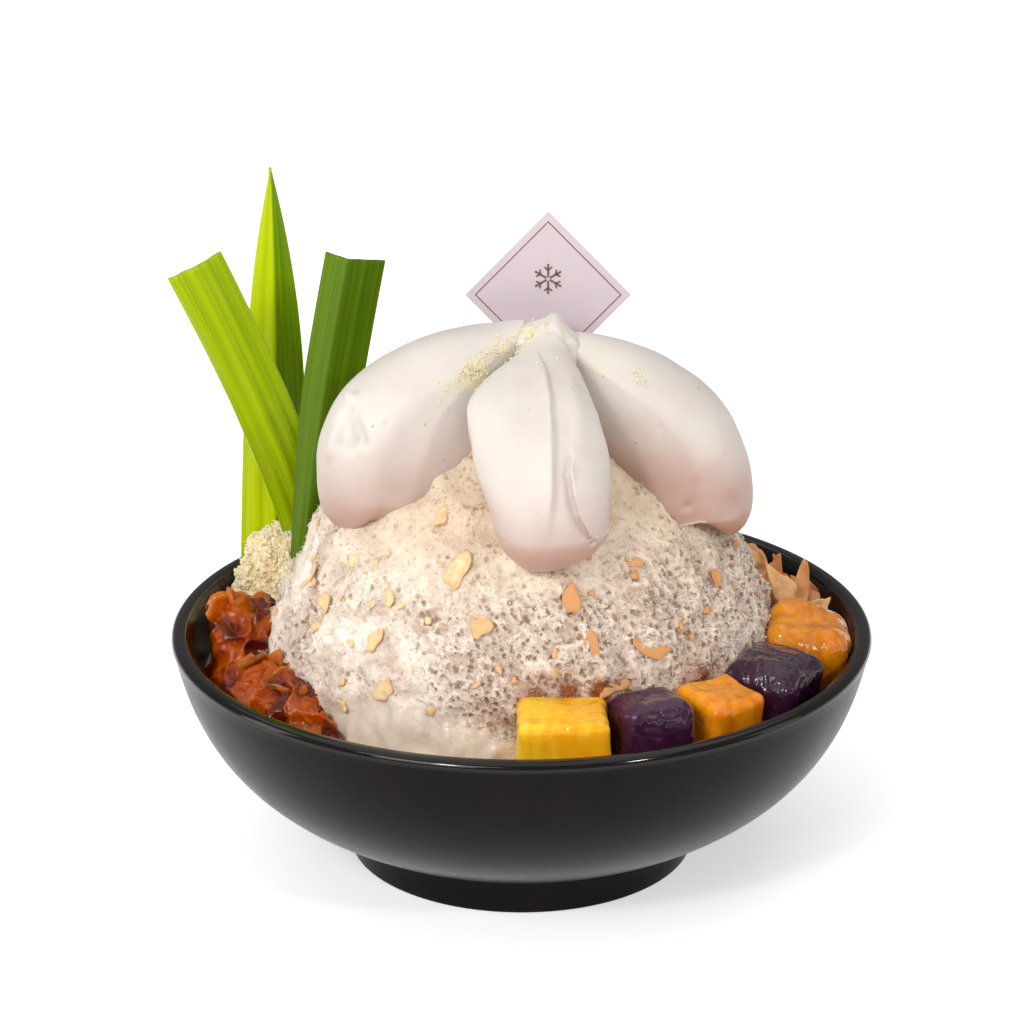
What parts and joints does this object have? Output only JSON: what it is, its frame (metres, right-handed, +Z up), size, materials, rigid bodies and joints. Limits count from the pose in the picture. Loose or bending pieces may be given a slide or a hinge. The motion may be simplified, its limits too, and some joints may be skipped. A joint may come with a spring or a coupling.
{
  "type": "bowl of shave ice",
  "caption": "Dark footed bowl of milk shave ice with spooned whipped cream, almond flakes, boiled sweet potato and taro cubes, brown sugar jelly, pandan leaves and a small blank sign on a pick.",
  "frame": {"origin": "middle of the flat underside of the bowl's foot, at the bottom centre of the whole object's box", "axes": "+Z up, -Y towards the side shown in the picture, +X to its right"},
  "size_m": [0.19, 0.19, 0.1811],
  "materials": {
    "bowl_melamine": "satin black moulded melamine",
    "sweet_milk": "wet, cloudy",
    "milk_ice": "frothy porous milk ice",
    "milk_crumble": "dry yellowish crumbs",
    "whipped_cream": "smooth satin whipped cream",
    "sweet_potato": "boiled, syrup-wet",
    "purple_taro": "boiled, syrup-wet",
    "pandan_leaf": "waxy ribbed leaf",
    "brown_sugar_jelly": "translucent, wet",
    "toasted_almond": "toasted",
    "sign_card": "coated card with a printed border",
    "pick_wood": "raw birch"
  },
  "bodies": {
    "root": {"bowl": "bowl_melamine", "milk": "sweet_milk", "shaved_ice": "milk_ice", "crumble_heap": "milk_crumble", "cream_middle": "whipped_cream", "cream_left": "whipped_cream", "cream_right": "whipped_cream", "sweet_potato_front": "sweet_potato", "taro_front": "purple_taro", "sweet_potato_middle": "sweet_potato", "taro_right": "purple_taro", "sweet_potato_right": "sweet_potato", "pandan_pointed": "pandan_leaf", "pandan_leaning": "pandan_leaf", "pandan_folded": "pandan_leaf", "jelly_back": "brown_sugar_jelly", "jelly_front": "brown_sugar_jelly", "toasted_flakes": "toasted_almond", "sign_card": "sign_card", "sign_pick": "pick_wood"}
  },
  "joints": []
}
